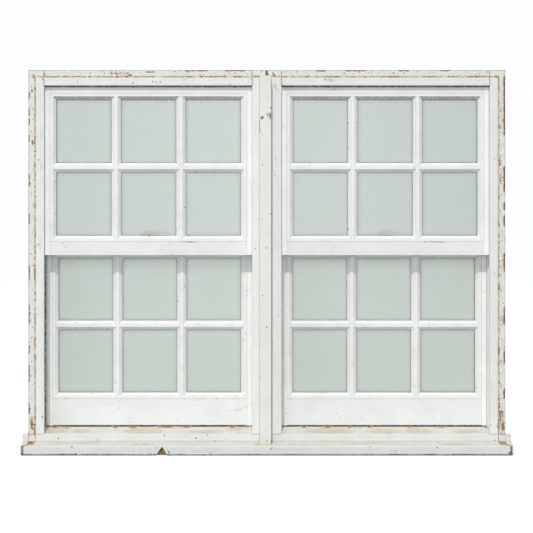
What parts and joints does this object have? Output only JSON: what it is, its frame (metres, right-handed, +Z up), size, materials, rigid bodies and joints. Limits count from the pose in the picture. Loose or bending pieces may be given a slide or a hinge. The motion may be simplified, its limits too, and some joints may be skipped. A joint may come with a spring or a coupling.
{
  "type": "sash window",
  "caption": "Twin double-hung sash window with divided lights, two units side by side on one stepped sill, weathered white paint, frame without the wall.",
  "frame": {"origin": "on the underside of the sill, at the joint of the two middle jambs and in the plane of the linings' outer face", "axes": "+X to the right seen from outside, +Y from outside into the room, +Z up"},
  "size_m": [1.46, 0.1769, 1.1472],
  "materials": {
    "frame_paint": "matte",
    "sash_paint": "matte",
    "glass": "satin",
    "lock_brass": "satin",
    "balance_steel": "satin"
  },
  "bodies": {
    "frame": {"sill": "frame_paint", "left_jamb": "frame_paint", "left_mullion_jamb": "frame_paint", "right_mullion_jamb": "frame_paint", "right_jamb": "frame_paint", "left_lining": "frame_paint", "left_mullion_lining": "frame_paint", "right_mullion_lining": "frame_paint", "right_lining": "frame_paint", "mullion_cover": "frame_paint", "balance_tubes": "balance_steel", "balance_springs": "balance_steel", "balance_screws": "balance_steel", "left_head_jamb": "frame_paint", "left_head_lining": "frame_paint", "left_parting_stops": "frame_paint", "left_interior_stops": "frame_paint", "right_head_jamb": "frame_paint", "right_head_lining": "frame_paint", "right_parting_stops": "frame_paint", "right_interior_stops": "frame_paint"},
    "upper_left_sash": {"upper_left_sash_left_stile": "sash_paint", "upper_left_sash_right_stile": "sash_paint", "upper_left_sash_top_rail": "sash_paint", "upper_left_sash_bottom_rail": "sash_paint", "upper_left_sash_muntins": "sash_paint", "upper_left_sash_panes": "glass", "upper_left_sash_beads": "sash_paint", "upper_left_sash_balance_rods": "balance_steel", "left_sash_lock_keeper": "lock_brass"},
    "lower_left_sash": {"lower_left_sash_left_stile": "sash_paint", "lower_left_sash_right_stile": "sash_paint", "lower_left_sash_top_rail": "sash_paint", "lower_left_sash_bottom_rail": "sash_paint", "lower_left_sash_muntins": "sash_paint", "lower_left_sash_panes": "glass", "lower_left_sash_beads": "sash_paint", "lower_left_sash_balance_rods": "balance_steel", "left_sash_lock_base": "lock_brass"},
    "left_lock_arm": {"left_sash_lock_arm": "lock_brass"},
    "upper_right_sash": {"upper_right_sash_left_stile": "sash_paint", "upper_right_sash_right_stile": "sash_paint", "upper_right_sash_top_rail": "sash_paint", "upper_right_sash_bottom_rail": "sash_paint", "upper_right_sash_muntins": "sash_paint", "upper_right_sash_panes": "glass", "upper_right_sash_beads": "sash_paint", "upper_right_sash_balance_rods": "balance_steel", "right_sash_lock_keeper": "lock_brass"},
    "lower_right_sash": {"lower_right_sash_left_stile": "sash_paint", "lower_right_sash_right_stile": "sash_paint", "lower_right_sash_top_rail": "sash_paint", "lower_right_sash_bottom_rail": "sash_paint", "lower_right_sash_muntins": "sash_paint", "lower_right_sash_panes": "glass", "lower_right_sash_beads": "sash_paint", "lower_right_sash_balance_rods": "balance_steel", "right_sash_lock_base": "lock_brass"},
    "right_lock_arm": {"right_sash_lock_arm": "lock_brass"}
  },
  "joints": [
    {"name": "upper_left_sash_slide", "type": "slide", "parent": "frame", "child": "upper_left_sash", "axis": [0, 0, -1], "range_m": [0, 0.425]},
    {"name": "lower_left_sash_slide", "type": "slide", "parent": "frame", "child": "lower_left_sash", "axis": [0, 0, 1], "range_m": [0, 0.425]},
    {"name": "left_lock_turn", "type": "hinge", "parent": "lower_left_sash", "child": "left_lock_arm", "pos_m": [-0.3554, 0.0708, 0.6518], "axis": [0, 0, 1], "range_deg": [0, 165]},
    {"name": "upper_right_sash_slide", "type": "slide", "parent": "frame", "child": "upper_right_sash", "axis": [0, 0, -1], "range_m": [0, 0.425]},
    {"name": "lower_right_sash_slide", "type": "slide", "parent": "frame", "child": "lower_right_sash", "axis": [0, 0, 1], "range_m": [0, 0.425]},
    {"name": "right_lock_turn", "type": "hinge", "parent": "lower_right_sash", "child": "right_lock_arm", "pos_m": [0.3554, 0.0708, 0.6518], "axis": [0, 0, 1], "range_deg": [0, 165]}
  ]
}
